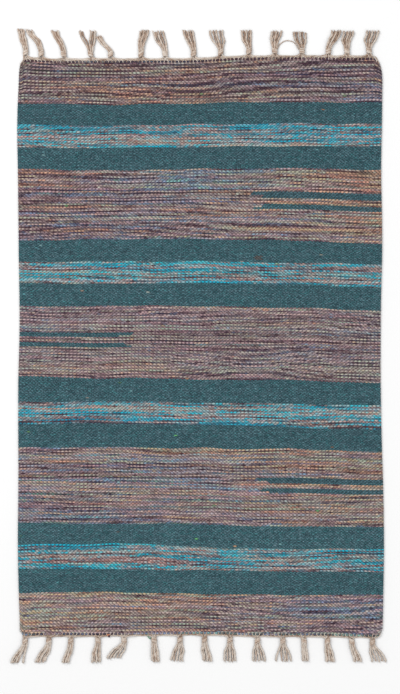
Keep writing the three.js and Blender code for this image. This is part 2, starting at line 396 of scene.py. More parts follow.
def cotton_yarn():
    """The undyed warp: cream, with a tone for each yarn, the twist of its strands with painted shade
    in the grooves between them, and painted shade along its sides, darker away from its top."""
    nodes = Nodes("cotton_yarn")
    spun = nodes.add("UVMap", {"uv_map": "spun"}).outputs["UV"]
    place = nodes.add("SeparateXYZ", Vector=spun)
    strands = nodes.math("MULTIPLY", place.outputs["Y"], COTTON.strands)
    ply = nodes.wave("COSINE", nodes.math("ADD", place.outputs["X"], strands))
    above = nodes.wave("SINE", place.outputs["Y"])
    where = nodes.object_place()
    blotches = nodes.math("MULTIPLY", nodes.noise(where, COTTON.blotches), COTTON.blotch_share)
    fibres = nodes.noise(where, COTTON.fibres)
    own_tone = nodes.math("MULTIPLY", nodes.attribute("tone"), COTTON.tone_share)
    cream = nodes.ramp(nodes.math("ADD", own_tone, blotches), COTTON.cream)
    # Painted shade in the grooves between the plied strands.
    painted_groove = nodes.math("MULTIPLY", nodes.math("SUBTRACT", 1.0, ply), COTTON.groove_share)
    colour = nodes.mix(painted_groove, cream, rgb(*COTTON.groove))
    # Painted shade along the sides of each yarn: the colour is darker away from its top.
    shade = nodes.ramp(above, COTTON.sides)
    height = nodes.math("ADD", ply, nodes.math("MULTIPLY", fibres, COTTON.fibre_height))
    return nodes.yarn(nodes.tint(colour, shade), height, COTTON.relief)


def dyed_ends():
    """The few ends of weft that stick out below the cloth."""
    nodes = Nodes("dyed_ends")
    fibres = nodes.noise(nodes.object_place(), DYED.fibres)
    colour = nodes.ramp(nodes.attribute("tone"), DYED.shades)
    light = nodes.math("MULTIPLY_ADD", fibres, *DYED.fibre_light)
    return nodes.yarn(nodes.tint(colour, nodes.grey(light)), fibres, DYED.relief)


def fill(items, key, values, kind=np.float32):
    items.foreach_set(key, np.asarray(values, kind).ravel())


def add_object(name, data):
    made = bpy.data.objects.new(name, data)
    bpy.context.scene.collection.objects.link(made)
    return made


def make_mesh(name, points, triangles, materials, slots=0):
    """An object from arrays of points and triangles. slots gives the material of each triangle."""
    mesh = bpy.data.meshes.new(name)
    count = len(triangles)
    for material in materials:
        mesh.materials.append(material)
    mesh.vertices.add(len(points))
    mesh.loops.add(3 * count)
    mesh.polygons.add(count)
    fill(mesh.vertices, "co", points)
    fill(mesh.loops, "vertex_index", triangles, np.int32)
    fill(mesh.polygons, "loop_start", 3 * np.arange(count), np.int32)
    fill(mesh.polygons, "use_smooth", np.ones(count), bool)
    fill(mesh.polygons, "material_index", np.zeros(count) + slots, np.int32)
    mesh.update(calc_edges=True)
    return add_object(name, mesh)


def number_layer(mesh, name, values, domain="FACE"):
    """One number for each face or each point, which a material reads by this name."""
    fill(mesh.attributes.new(name, "FLOAT", domain).data, "value", values)


def corner_map(mesh, name, places):
    """A UV map, from the place of each corner."""
    fill(mesh.uv_layers.new(name=name).data, "uv", places)


def stacked(*columns):
    return np.stack(columns, axis=1)


def joined(parts):
    """The arrays of several parts, each kind put end to end."""
    return [np.concatenate(arrays) for arrays in zip(*parts)]


def cloth_outline():
    """The cloth's edges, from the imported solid: a function for each side and each end."""
    points = np.array([v.co[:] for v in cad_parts["cloth"].data.vertices]) / MM
    rim = points[np.abs(points[:, 2] - WEAVE.thickness / 2) < 1.0]

    def edge(value, beyond):
        found = rim[rim[:, value] * np.sign(beyond) > abs(beyond)]
        found = found[np.argsort(found[:, 1 - value])]
        return lambda place: np.interp(place, found[:, 1 - value], found[:, value])

    side, end = 282.0, 462.0
    return {
        "left": edge(0, -side), "right": edge(0, side), "top": edge(1, end), "bottom": edge(1, -end),
    }


EDGES = cloth_outline()
# How many picks each band holds, from its height at the middle of the rug.
BORDERS = [EDGES["top"](0.0), *(lower[2] for lower in LOWER_EDGES), EDGES["bottom"](0.0)]
PICKS = [
    round((upper - lower) / PICK[yarn]) for yarn, upper, lower in zip(YARNS, BORDERS, BORDERS[1:])
]
ROWS = sum(PICKS) + 2
COLUMNS = WARPS + 1
FIRST_PICK = [1 + sum(PICKS[:n]) for n in range(len(PICKS))]
# The outermost column of points at each side, and the next one inward.
SELVEDGES = ((0, 1), (COLUMNS - 1, COLUMNS - 2))


def chance(rng, kind, rows=ROWS):
    """Random values over the lattice, in the layers of this kind."""
    total = 0
    for weight, down, across in LAYERS[kind]:
        spectrum = np.fft.rfft2(rng.standard_normal((rows, COLUMNS)))
        along_rows = np.fft.fftfreq(rows)[:, None] * down
        along_columns = np.fft.rfftfreq(COLUMNS)[None, :] * across
        spectrum *= np.exp(-2 * (math.pi**2) * (along_rows**2 + along_columns**2))
        field = np.fft.irfft2(spectrum, s=(rows, COLUMNS))
        total = total + weight * ((field - field.mean()) / field.std())
    return total


def lattice(rng):
    """The plan of the weave: the x and y of its points, in millimetres. Row 0 and the last row lie
    beyond the ends of the cloth, and each row between them is a pick."""
    steps = np.ones(WARPS)
    steps[[0, -1]] = WEAVE.selvedge_step
    share = np.concatenate([[0], np.cumsum(steps)]) / steps.sum()
    across = (share - 0.5) * (BAND_PLACES[-1] - BAND_PLACES[0]) * WEAVE.layout
    inner = [np.interp(across, BAND_PLACES, lower) for lower in LOWER_EDGES]
    edges = np.array([EDGES["top"](across), *inner, EDGES["bottom"](across)])
    edges[1:-1] += chance(rng, "edge", len(inner))
    reach = WEAVE.float_reach
    places = [1 - reach, *(first - 0.5 for first in FIRST_PICK[1:]), ROWS - 2 + reach]
    rows = np.arange(ROWS)
    y = np.array([np.interp(rows, places, edges[:, j]) for j in range(COLUMNS)]).T
    y[0] = 2 * y[1] - y[2]
    y[-1] = 2 * y[-2] - y[-3]
    y = y + chance(rng, "weft")
    left, right = EDGES["left"](y[:, 0]), EDGES["right"](y[:, -1])
    x = left[:, None] + share[None, :] * (right - left)[:, None]
    x += chance(rng, "warp")
    pinned = np.minimum(1, 8 * np.minimum(share, 1 - share))
    x += pinned * chance(rng, "drift")
    x[:, 0], x[:, -1] = left, right
    return x, y


class Weave:
    """The cloth's points and the look of each float, for the whole rug."""

    def __init__(self, seed):
        rng = np.random.default_rng(seed)
        self.x, self.y = lattice(rng)
        row, column = np.indices((ROWS, COLUMNS))
        self.odd = (row + column) % 2
        half = WEAVE.thickness / 2
        slack = np.abs(chance(rng, "float")) * WEAVE.uneven
        peak = half - np.minimum(slack, WEAVE.most_uneven)
        valley = half - WEAVE.valley * (1 + WEAVE.valley_varies * chance(rng, "float"))
        fall = np.ones(COLUMNS)
        fall[[1, -2]] = WEAVE.selvedge_fall
        self.peak, self.valley = peak * fall, valley * fall
        self.slant = np.tanh(chance(rng, "slant"))
        for yarn, first, count in zip(YARNS, FIRST_PICK, PICKS):
            self.slant[first : first + count] *= MIXING[yarn].slant
        self.tone_and_drift(rng)

    def tone_and_drift(self, rng):
        """Says how light each float is and which shade its yarn has got to there."""
        shape = (ROWS, COLUMNS)
        share = np.linspace(0, 1, COLUMNS)
        pick_shade, pick_light, pick_cast = (chance(rng, kind) for kind in ("shade", "light", "cast"))
        cloud = chance(rng, "cloud")
        turning = chance(rng, "turning")
        grain = rng.standard_normal(shape)
        scatter = rng.standard_normal(shape)
        wave = np.cos(math.pi * (np.arange(ROWS)[:, None] + turning))
        alternate = np.tanh(ALTERNATE_SHARPNESS * wave)
        self.tone, self.drift, self.cast = np.zeros(shape), np.zeros(shape), np.zeros(shape)
        for number, (yarn, first, count) in enumerate(zip(YARNS, FIRST_PICK, PICKS)):
            rows = slice(first, first + count)
            mixing = MIXING[yarn]
            lighter, lighter_right, greener_right, variety = CHARACTER.get(number, PLAIN)
            tone = mixing.light + lighter + mixing.alternate * alternate[rows]
            tone = tone + lighter_right * (share - 0.5)
            streaks = pick_light[rows] - pick_light[rows].mean()
            tone = tone + mixing.pick * streaks + mixing.grain * grain[rows]
            middle = mixing.shade
            if number in DRIFT:
                down = np.linspace(0, 1, count)[:, None]
                upper, lower = (
                    np.interp(share, DRIFT_PLACES, [MAUVE[name][0] for name in part.split()])
                    for part in DRIFT[number]
                )
                middle = upper * (1 - down) + lower * down
            strays = variety * (pick_shade[rows] - pick_shade[rows].mean())
            drift = middle + mixing.pick_shade * strays + mixing.cloud * cloud[rows]
            drift = drift + mixing.scatter * scatter[rows]
            drift = drift + mixing.alternate_shade * alternate[rows]
            cast = mixing.cast * pick_cast[rows] + mixing.light_cast * (tone - mixing.light)
            cast = 0.5 + (cast + greener_right * (share - 0.5))
            self.tone[rows], self.drift[rows], self.cast[rows] = tone, drift, cast
        for row, pick in zip((1, ROWS - 2), OUTER_PICKS):
            self.tone[row] -= pick.darker
            self.drift[row] += pick.bluer
        for field in (self.tone, self.drift, self.cast):
            np.clip(field, 0, 1, out=field)
        held = rng.random(shape) < NEPS.share
        self.nep = held * (NEPS.least + NEPS.more * rng.random(shape))
        self.nep_hue = rng.random(shape)
        for mark in MARKS:
            beside, above = np.abs(self.x - mark.x), np.abs(self.y - mark.y)
            marked = (beside < mark.half) & (above < mark.tall)
            self.nep[marked], self.nep_hue[marked] = mark.share, TUFTS[mark.hue][0]


CLOTH = Weave(SEED.weave)


class Face:
    """The upper or the under face of one band. Each lattice point has two points of the mesh: the
    ends of the ridge where a float stands, and else an upper and a lower one in the valley. Both
    faces share those of the selvedges. Half floats at a selvedge have a third one, their crown."""

    def __init__(self, first, last, up, offset):
        self.first, self.last, self.up, self.offset = first, last, up, offset
        self.parity = 0 if up > 0 else 1
        self.rows = last - first + 3
        self.pairs = self.rows * COLUMNS
        self.size = 2 * self.pairs + 2 * self.rows

    def number(self, row, column, second):
        """The number of the first or the second point at a lattice point."""
        row, column = np.asarray(row), np.asarray(column)
        start = np.where(column % (COLUMNS - 1) == 0, 0, self.offset)
        place = (row - (self.first - 1)) * COLUMNS + column
        return start + place + (self.pairs if second else 0)

    def crown(self, row, right):
        return self.offset + 2 * self.pairs + 2 * (np.asarray(row) - self.first + 1) + int(right)

    def points(self):
        """The face's points, and which of them stand on top of a float."""
        rows = slice(self.first - 1, self.last + 2)
        x, y = CLOTH.x[rows], CLOTH.y[rows]
        raised = CLOTH.odd[rows] == self.parity
        pitch = np.gradient(y, axis=0)
        step = np.gradient(x, axis=1)
        slope = np.gradient(y, axis=1)
        height = np.where(raised, CLOTH.peak[rows], CLOTH.valley[rows])
        height[:, [0, -1]] = 0
        middle = WEAVE.thickness / 2
        loop = WEAVE.selvedge_loop * np.where(np.arange(len(y)) % 2 == 0, 1, 0)
        along = np.where(raised, WEAVE.ridge_reach, 0.0)
        down = np.where(raised, CLOTH.slant[rows], 1 - WEAVE.float_reach)
        along[:, [0, -1]], down[:, [0, -1]] = 0, 1 - WEAVE.float_reach
        pair = []
        for sign in (-1, 1):
            px = x + sign * along * step
            py = y + sign * down * pitch + sign * along * slope
            px[:, 0] += loop
            px[:, -1] -= loop
            pair.append(np.stack([px, py, middle + self.up * height], axis=-1).reshape(-1, 3))
        crowns = np.empty((self.rows, 2, 3))
        for side, (column, inner) in enumerate(SELVEDGES):
            inside = (inner - column) * WEAVE.crown_in * np.abs(step[:, column])
            crowns[:, side, 0] = x[:, column] + inside
            crowns[:, side, 1] = y[:, column]
            crowns[:, side, 2] = middle + self.up * WEAVE.crown_high * CLOTH.peak[rows, column]
        on_top = raised.copy()
        on_top[:, [0, -1]] = False
        on_top = [on_top.ravel(), on_top.ravel(), np.ones(2 * self.rows, bool)]
        return np.concatenate([*pair, crowns.reshape(-1, 3)]), np.concatenate(on_top)


def fan(ring, hub):
    """The triangles between the points along a ring and the point in its middle."""
    return [stacked(a, b, hub) for a, b in zip(ring, ring[1:])]


def whole_floats(face, row, column):
    """The eight triangles of each float: a ridge between two points, and a ring of six round it."""
    left, right = face.number(row, column, False), face.number(row, column, True)
    north = face.number(row - 1, column, True)
    south = face.number(row + 1, column, False)
    west = [face.number(row, column - 1, second) for second in (False, True)]
    east = [face.number(row, column + 1, second) for second in (True, False)]
    ridge = [stacked(north, left, right), stacked(south, right, left)]
    return [*fan([north, *west, south], left), *ridge, *fan([south, *east, north], right)]


def half_floats(face, row, column, inner):
    """The floats that are cut by a selvedge, where their yarn turns back."""
    ring = [
        face.number(row - 1, column, True),
        face.number(row, column, False),
        face.number(row, column, True),
        face.number(row + 1, column, False),
        face.number(row, inner, True),
        face.number(row, inner, False),
    ]
    made = fan([*ring, ring[0]], face.crown(row, column > 0))
    return [triangles[:, ::-1] for triangles in made] if column > 0 else made


def face_triangles(face):
    """A face's triangles, with the row and the column of the float that each belongs to."""
    row, column = (a.ravel() for a in np.mgrid[face.first : face.last + 1, 1 : COLUMNS - 1])
    floats = (row + column) % 2 == face.parity
    row, column = row[floats], column[floats]
    parts = [(made, row, column) for made in whole_floats(face, row, column)]
    rows = np.arange(face.first, face.last + 1)
    for edge, inner in SELVEDGES:
        cut = rows[(rows + edge) % 2 == face.parity]
        at_edge = np.full(len(cut), edge)
        parts += [(made, cut, at_edge) for made in half_floats(face, cut, edge, inner)]
    triangles, rows, columns = joined(parts)
    return (triangles if face.up > 0 else triangles[:, ::-1]), rows, columns


def band_edge(upper, under, row, beyond):
    """The triangles between the zigzag borders of a band's two faces, at its first or last pick.
    beyond is 1 below the pick and -1 above it."""
    columns = np.arange(COLUMNS)
    borders = []
    for face in (upper, under):
        tips = face.number(row + beyond, columns, beyond < 0)
        raised = (row + columns) % 2 == face.parity
        borders.append(np.where(raised, tips, face.number(row, columns, beyond > 0)))
    (a, d), (b, c) = ((border[:-1], border[1:]) for border in borders)
    made = np.concatenate([stacked(a, b, c), stacked(a, c, d)])
    return made[:, ::-1] if beyond < 0 else made


def line_floats(number, row, column):
    """Which of a band's floats belong to its short teal lines."""
    found = np.zeros(row.shape, bool)
    x = CLOTH.x[row, column]
    for line in LINES:
        step = row - FIRST_PICK[number] - round(line.from_top / PICK[YARNS[number]])
        within = (line.band == number) & (step >= 0) & (step < line.picks)
        end = np.where(step < line.picks / 2, line.upper, line.lower)
        found |= within & (line.side * (x - end) > 0)
    return found


def band_piece(number, materials):
    """One band of the cloth, as a closed mesh of its upper floats, its under floats and the edges
    where it meets the next bands."""
    yarn = YARNS[number]
    first = FIRST_PICK[number]
    last = first + PICKS[number] - 1
    upper = Face(first, last, 1, 0)
    under = Face(first, last, -1, upper.size)
    points, crown = joined([upper.points(), under.points()])
    parts = [face_triangles(upper), face_triangles(under)]
    for row, beyond in ((last, 1), (first, -1)):
        made = band_edge(upper, under, row, beyond)
        column = np.tile(np.arange(COLUMNS - 1), 2)
        parts.append((made, np.full(len(made), row), column))
    in_wall = np.concatenate([np.full(len(part[0]), n > 1) for n, part in enumerate(parts)])
    triangles, rows, columns = joined(parts)
    used, flat = np.unique(triangles, return_inverse=True)
    triangles, points, crown = flat.reshape(triangles.shape), points[used], crown[used]
    teal_line = line_floats(number, rows, columns)
    name = f"band_{number + 1:02d}_{yarn}"
    made = make_mesh(name, points * MM, triangles, [materials[yarn], materials["teal"]], teal_line)
    flecks = np.random.default_rng(SEED.flecks + number).standard_normal(len(triangles))
    tone = CLOTH.tone[rows, columns]
    tone = np.where(teal_line, LINE_TONE.base + LINE_TONE.share * tone, tone)
    tone = tone + flecks * np.where(teal_line, MIXING["teal"].fleck, MIXING[yarn].fleck)
    number_layer(made.data, "tone", tone)
    for kind in ("drift", "cast", "nep", "nep_hue"):
        number_layer(made.data, kind, getattr(CLOTH, kind)[rows, columns])
    # Which points stand on the top of a float. The materials darken the colour away from the tops by
    # it, as painted shade in the grooves.
    number_layer(made.data, "crown", crown, "POINT")
    crease(made.data, crown)
    bake_map(made.data, points, triangles, used < upper.size, in_wall)
    return made, flat_size(first, last)


def crease(mesh, crown):
    """Marks the edges between floats as sharp, so that each float is shaded as a bulge of its own."""
    ends = np.empty(2 * len(mesh.edges), np.int32)
    mesh.edges.foreach_get("vertices", ends)
    layer = mesh.attributes.new("sharp_edge", "BOOLEAN", "EDGE")
    fill(layer.data, "value", ~crown[ends].reshape(-1, 2).any(axis=1), bool)


def bake_map(mesh, points, triangles, on_top, in_wall):
    """A flat map of the band: its upper face in the upper half, its under face in the lower half,
    and its edges in a thin strip between them."""
    half, seam, margin = 0.49, 0.005, 0.002
    corner = triangles.ravel()
    low, high = points[:, :2].min(axis=0), points[:, :2].max(axis=0)
    u, v = ((points[corner, :2] - low) / (high - low)).T
    over = np.repeat(on_top[triangles].sum(axis=1) >= 2, 3)
    v = np.where(over, 0.5 + seam + half * v, half * v + seam / 2)
    v = np.where(np.repeat(in_wall, 3), 0.5 - seam / 2 + seam * on_top[corner], v)
    corner_map(mesh, "OFBake", stacked(margin + (1 - 2 * margin) * u, v))


def flat_size(first, last):
    """The width of a band and its length along the rug, in metres."""
    x, y = CLOTH.x[first : last + 1], CLOTH.y[:, COLUMNS // 2]
    width = (x[:, -1] - x[:, 0]).mean()
    length = (y[first - 1] + y[first] - y[last] - y[last + 1]) / 2
    return float(width * MM), float(length * MM)


# The tassels as they are knotted, from left to right. x is where the knot lies, counted from the
# photograph's middle, lean how far the tip lies to the side of it, spread the width of the tip, bow
# how far the middle swings out, and reach the distance from knot to tip. In a tassel that parts, part
# is the share of yarns left of the parting and gap its width.
TASSEL = "x lean spread bow reach part gap"
TOP_TASSELS = table(TASSEL, [
    (-286.8, -7.9, 9.9, 0, 43),
    (-261.4, -19.7, 9.2, 3.5, 44),
    (-224.4, -15.1, 9.4, 1.5, 44),
    (-180.0, -5.2, 17.0, 0.5, 44, 0.3, 10),
    (-147.1, -19.6, 7.0, -1.5, 35),
    (-97.0, 5.4, 11.3, -2, 44),
    (-57.5, -11.5, 16.4, -0.5, 43),
    (-10.7, -9.0, 14.8, 0, 43),
    (34.0, -7.7, 21.4, 0, 41),
    (80.5, -4.1, 14.8, -2, 39),
    (122.8, 3.5, 14.8, -2, 38),
    (167.7, -4.1, 19.7, 0, 36),
    (211.2, 13.8, 13.0, 0, 39),
    (241.6, 3.0, 15.4, -2.5, 38),
    (277.8, 6.6, 19.7, -1.5, 38),
])
BOTTOM_TASSELS = table(TASSEL, [
    (-287.7, -12.8, 13.0, 0, 41, 0.88, 6),
    (-248.7, -14.3, 15.6, 1, 41),
    (-212.5, -8.6, 10.4, 1.5, 41),
    (-167.7, -3.3, 13.2, -1, 41),
    (-124.9, -17.6, 21.4, 0, 36),
    (-75.5, 2.6, 11.5, 0, 41),
    (-32.9, -5.4, 19.0, 0, 41),
    (7.4, 4.6, 13.2, -0.5, 41),
    (49.3, 0, 18.0, -0.5, 41),
    (94.5, 2.5, 19.0, 0, 39),
    (136.4, 0.8, 19.7, 0.5, 39, 0.17, 5),
    (171.0, 2.1, 8.0, 0, 38),
    (209.6, 4.1, 12.8, 0, 39),
    (249.9, 9.4, 10.4, 0, 38),
    (283.6, 11.5, 22.0, 0, 38),
])
# The ends: which way each faces, and how far its bare warps reach at the knots and between them.
ENDS = table("name direction at_knots between tassels", [
    ("top", 1, 6.0, 3.6, TOP_TASSELS),
    ("bottom", -1, 3.6, 2.2, BOTTOM_TASSELS),
])

# A yarn: its size, how many warps a tassel takes in, the length of a turn of its twist, how pointed
# its ends are, how much it loosens towards a tassel's tip, its width at the very tip, against that
# just before, and how far it stays off the floor.
YARN = Settings(
    radius=0.74, sides=6, per_tassel=13, twist=4.6, cap=0.55, loosening=0.3, tip=0.75, clear=0.04,
)
# How many yarns hold together in each lock of a tassel, how far they lie from the lock's middle, and
# their tone: the thin locks lie lower, between the thick ones, and are made browner and darker as
# painted shade between the locks.
LOCKS = (3, 2, 3, 2, 3)
LOCK = {2: 0.74, 3: 0.86}
LOCK_TONE = {2: 0.2, 3: 0.72}
# How far locks and single yarns stray from that tone, and what each end of the rug adds to it.
LOCK_STRAYS = (-0.12, 0.12)
YARN_STRAYS = (-0.18, 0.18)
FRINGE_TONE = {"top": -0.12, "bottom": 0.3}
# From which share of its length a lock opens up, and how much wider its tip is.
OPENING = Settings(start=0.8, wider=0.45)
# A knot: its size, how far it stays off the bare warps, how high its middle lies, and its wraps, with
# the distance between them, how much each turns, how much smaller the outer ones are, and how far
# they lean and waver.
KNOT = Settings(
    length=9.0, width=10.0, height=6.1, clear=0.6, middle=0.42,
    wraps=5, wrap_radius=0.95, pitch=1.6, turns=1.25, turn_steps=17, shrink=0.08, lean=1.9, waver=0.5,
)
# The bare warps that run along an end: how far past the outermost knots, where each lies in the
# heading's width and its tone, and how far from a knot the heading widens, and how steeply.
HEADING = Settings(
    overhang=4, stations=130, yarns=((0.08, 0.3), (0.36, 0.8), (0.64, 0.45), (0.92, 0.9)),
    scallop=12, steepness=1.4,
)
# How high a warp leaves the cloth, over or under the outermost pick.
RISE = {"over": 3.75, "under": 1.9}
STRAND_STEPS = 22
WARP_STEPS = 13


def distances(points):
    """How far along a line its points lie."""
    return np.concatenate([[0], np.cumsum(np.linalg.norm(np.diff(points, axis=0), axis=1))])


def spline(corners, count):
    """Evenly spread places on a smooth curve through these points."""
    corners = np.asarray(corners, float)
    at = distances(corners)
    slopes = np.gradient(corners, at, axis=0)
    wanted = np.linspace(0, at[-1], count)
    piece = np.clip(np.searchsorted(at, wanted, side="right") - 1, 0, len(at) - 2)
    width = (at[piece + 1] - at[piece])[:, None]
    t = ((wanted - at[piece]) / width[:, 0])[:, None]
    start, end = corners[piece], corners[piece + 1]
    start_slope, end_slope = slopes[piece] * width, slopes[piece + 1] * width
    return (
        (2 * t**3 - 3 * t**2 + 1) * start
        + (t**3 - 2 * t**2 + t) * start_slope
        + (3 * t**2 - 2 * t**3) * end
        + (t**3 - t**2) * end_slope
    )


def tube(path, radius, twist_start):
    """A closed yarn along a path: its points, its triangles and the place of each corner on the
    yarn, in turns of its twist along it and in turns round it."""
    sides, rows, least = YARN.sides, len(path), 1e-3
    tangent = np.gradient(path, axis=0)
    tangent /= np.linalg.norm(tangent, axis=1)[:, None]
    side = np.cross(tangent, [0.0, 0.0, 1.0])
    length = np.linalg.norm(side, axis=1)[:, None]
    side = np.where(length > least, side / np.maximum(length, least), [1.0, 0.0, 0.0])
    up = np.cross(side, tangent)
    angle = np.arange(sides) * math.tau / sides
    ring = np.cos(angle)[None, :, None] * side[:, None] + np.sin(angle)[None, :, None] * up[:, None]
    radii = np.broadcast_to(radius, rows)
    body = path[:, None] + ring * radii[:, None, None]
    start = path[0] - tangent[0] * radii[0] * YARN.cap
    end = path[-1] + tangent[-1] * radii[-1] * YARN.cap
    points = np.concatenate([body.reshape(-1, 3), [start, end]])
    run = twist_start + distances(path) / YARN.twist
    # Each kind of triangle, by the row and the side of its corners. In the last two kinds, which
    # close the ends, the first corner is then moved to the point of the cap.
    i, k = (a.ravel() for a in np.mgrid[0 : rows - 1, 0:sides])
    first, last, around = np.zeros(sides, int), np.full(sides, rows - 1), np.arange(sides)
    kinds = [
        [(i, k), (i + 1, k + 1), (i, k + 1)],
        [(i, k), (i + 1, k), (i + 1, k + 1)],
        [(first, around), (first, around), (first, around + 1)],
        [(last, around), (last, around + 1), (last, around)],
    ]
    triangles = [stacked(*(row * sides + turn % sides for row, turn in kind)) for kind in kinds]
    triangles[2][:, 0], triangles[3][:, 0] = rows * sides, rows * sides + 1
    places = [stacked(*(stacked(run[row], turn / sides) for row, turn in kind)) for kind in kinds]
    return points, np.concatenate(triangles), np.concatenate(places).reshape(-1, 2)


class Bundle:
    """Collects yarns that make up one piece."""

    def __init__(self):
        self.yarns = []
        self.count = 0

    def add(self, path, radius, tone, slot=0):
        path = np.array(path, float)
        path[:, 2] = np.maximum(path[:, 2], np.max(radius) + YARN.clear)
        points, triangles, places = tube(path, radius, tone)
        looks = [np.full(len(triangles), value) for value in (tone, slot)]
        self.yarns.append((points, triangles + self.count, places, *looks))
        self.count += len(points)

    def piece(self, name, materials):
        points, triangles, places, tones, slots = joined(self.yarns)
        made = make_mesh(name, points * MM, triangles, materials, slots)
        corner_map(made.data, "spun", places)
        number_layer(made.data, "tone", tones)
        return made


def knot_centre(end, tassel):
    x = tassel.x + VIEW.across
    beyond = end.at_knots + KNOT.clear + KNOT.length / 2
    y = EDGES[end.name](x) + end.direction * beyond
    return np.array([x, y, KNOT.height * KNOT.middle])


# Ends of weft that stick out below the cloth, in millimetres, with the tone of their dye.
WEFT_END_RADIUS = 0.95
WEFT_ENDS = [
    (0.6, [(-151.4, -474.0, 1.6), (-149.4, -475.6, 2.9), (-146.6, -474.6, 1.8)]),
    (0.55, [(-150.6, -473.2, 2.2), (-147.6, -474.2, 3.6), (-145.2, -473.2, 2.0)]),
    (0.0, [(-149.8, -475.4, 1.4), (-147.8, -478.2, 2.2), (-145.6, -475.8, 1.3)]),
    (0.1, [(-149.0, -475.2, 2.6), (-147.4, -476.8, 3.4), (-146.2, -475.0, 2.4)]),
    (1.0, [(-84.4, -473.0, 2.2), (-83.0, -478.6, 1.5), (-80.4, -481.4, 0.9), (-78.6, -479.4, 0.9)]),
]


def add_running_warps(bundle, end, knots):
    """Adds the bare warps that run along the whole end, in a band that widens at each knot."""
    edge, direction = EDGES[end.name], end.direction
    left, right = knots[0][0] - HEADING.overhang, knots[-1][0] + HEADING.overhang
    stations = np.linspace(left, right, HEADING.stations)
    nearest = np.min([np.abs(stations - knot[0]) for knot in knots], axis=0)
    scallop = np.clip(1 - nearest / HEADING.scallop, 0, 1) ** HEADING.steepness
    width = end.between + (end.at_knots - end.between) * scallop
    for share, tone in HEADING.yarns:
        wander = 0.22 * np.sin(stations / 9 + 7 * share) + 0.14 * np.sin(stations / 3.7 + share)
        y = edge(stations) + direction * (width * share + wander)
        z = 0.9 + 0.35 * np.sin(stations / 4.3 + 9 * share)
        bundle.add(stacked(stations, y, z), YARN.radius, tone)


def warp_path(end, column, knot, rng):
    """The route of a warp that leaves the cloth and runs sideways into its knot. Where the outermost
    pick dips under it, it lies on top of the pick."""
    edge, direction = EDGES[end.name], end.direction
    row = 1 if direction > 0 else ROWS - 2
    inward = 1.2 * ((column == 0) - (column == COLUMNS - 1))
    x, y = CLOTH.x[row, column] + inward, CLOTH.y[row, column]
    away = knot[0] - x
    side = np.sign(away) if abs(away) > 1 else 0
    far = min(abs(away) / 20, 1.0)
    lift = rng.uniform(0.3, 1.5)
    out = end.between * (0.95 - 0.5 * far * rng.uniform(0.5, 1.2))
    bend = min(abs(away), 5.0) * side
    rise = RISE["over" if (row + column) % 2 == 1 else "under"]
    path = [
        (x, y - direction * 1.3, rise - 1.2),
        (x, y + direction * 0.2, rise),
        (x + 0.15 * bend, y + direction * 1.6, 0.8 * rise),
        (x + bend, edge(x + bend) + direction * (0.5 + 0.7 * out), 1.0 + lift),
        (x + 0.62 * away, edge(x + 0.62 * away) + direction * (out + 0.8), 1.2 + lift),
        (knot[0] - 3.2 * side, knot[1] - direction * (KNOT.length / 2 + 0.2), 2.0 + 0.6 * lift),
        (knot[0] - 1.2 * side, knot[1] - direction * KNOT.length * 0.2, 2.8),
    ]
    return spline(path, WARP_STEPS)


def heading(end, rng, materials):
    """The bare warps of one end."""
    bundle = Bundle()
    knots = [knot_centre(end, tassel) for tassel in end.tassels]
    add_running_warps(bundle, end, knots)
    for column in range(COLUMNS):
        path = warp_path(end, column, knots[column // YARN.per_tassel], rng)
        bundle.add(path, YARN.radius * rng.uniform(0.85, 1.05), rng.random())
    for tone, path in WEFT_ENDS if end.name == "bottom" else []:
        bundle.add(spline(path, WARP_STEPS), WEFT_END_RADIUS, tone, slot=1)
    return bundle.piece(f"warps_{end.name}", materials)


def lock_path(end, tassel, share, rng):
    """The route of a lock of a tassel, from the middle of the knot to its tip."""
    knot = knot_centre(end, tassel)
    lean, spread, bow = tassel.lean, tassel.spread, tassel.bow
    parting = tassel.gap * (-0.5 if share + 0.5 < tassel.part else 0.5)
    knot_run = end.direction * KNOT.length
    reach = end.direction * tassel.reach - knot_run / 2
    tip_x = lean + share * spread + parting + rng.uniform(-0.5, 0.5)
    middle_x = bow + 0.48 * lean + 0.86 * share * spread + 0.2 * parting
    crowded = np.clip((17 - spread) / 7, 0.15, 1)
    upper = crowded * rng.uniform(0.2, 1.7)
    low = YARN.radius + LOCK[3] + 0.05
    sway = rng.uniform(-0.7, 0.7, 2)
    path = [
        knot + (share * 3.4, -0.46 * knot_run, 0.2 * share),
        knot + (share * 6.2, 0.42 * knot_run, -0.2 + upper * 0.5),
        (knot[0] + 0.36 * middle_x + share * 3.6, knot[1] + reach * 0.3, low + 0.4 + upper),
        (knot[0] + middle_x + sway[0], knot[1] + reach * 0.52, low + upper),
        (knot[0] + 0.75 * tip_x + 0.2 * middle_x + sway[1], knot[1] + reach * 0.78, low + upper),
        (knot[0] + tip_x, knot[1] + reach, low + upper * 0.8),
    ]
    return spline(path, STRAND_STEPS)


# Single yarns that have come away from their tassel, as points in millimetres, and their tone.
STRAY_TONE = 0.4
STRAYS = {
    ("top", 12): [(164, 488, 2.4), (156, 500, 1.6), (142, 502, 0.9), (134, 497, 0.9), (128, 487, 2.2)],
}


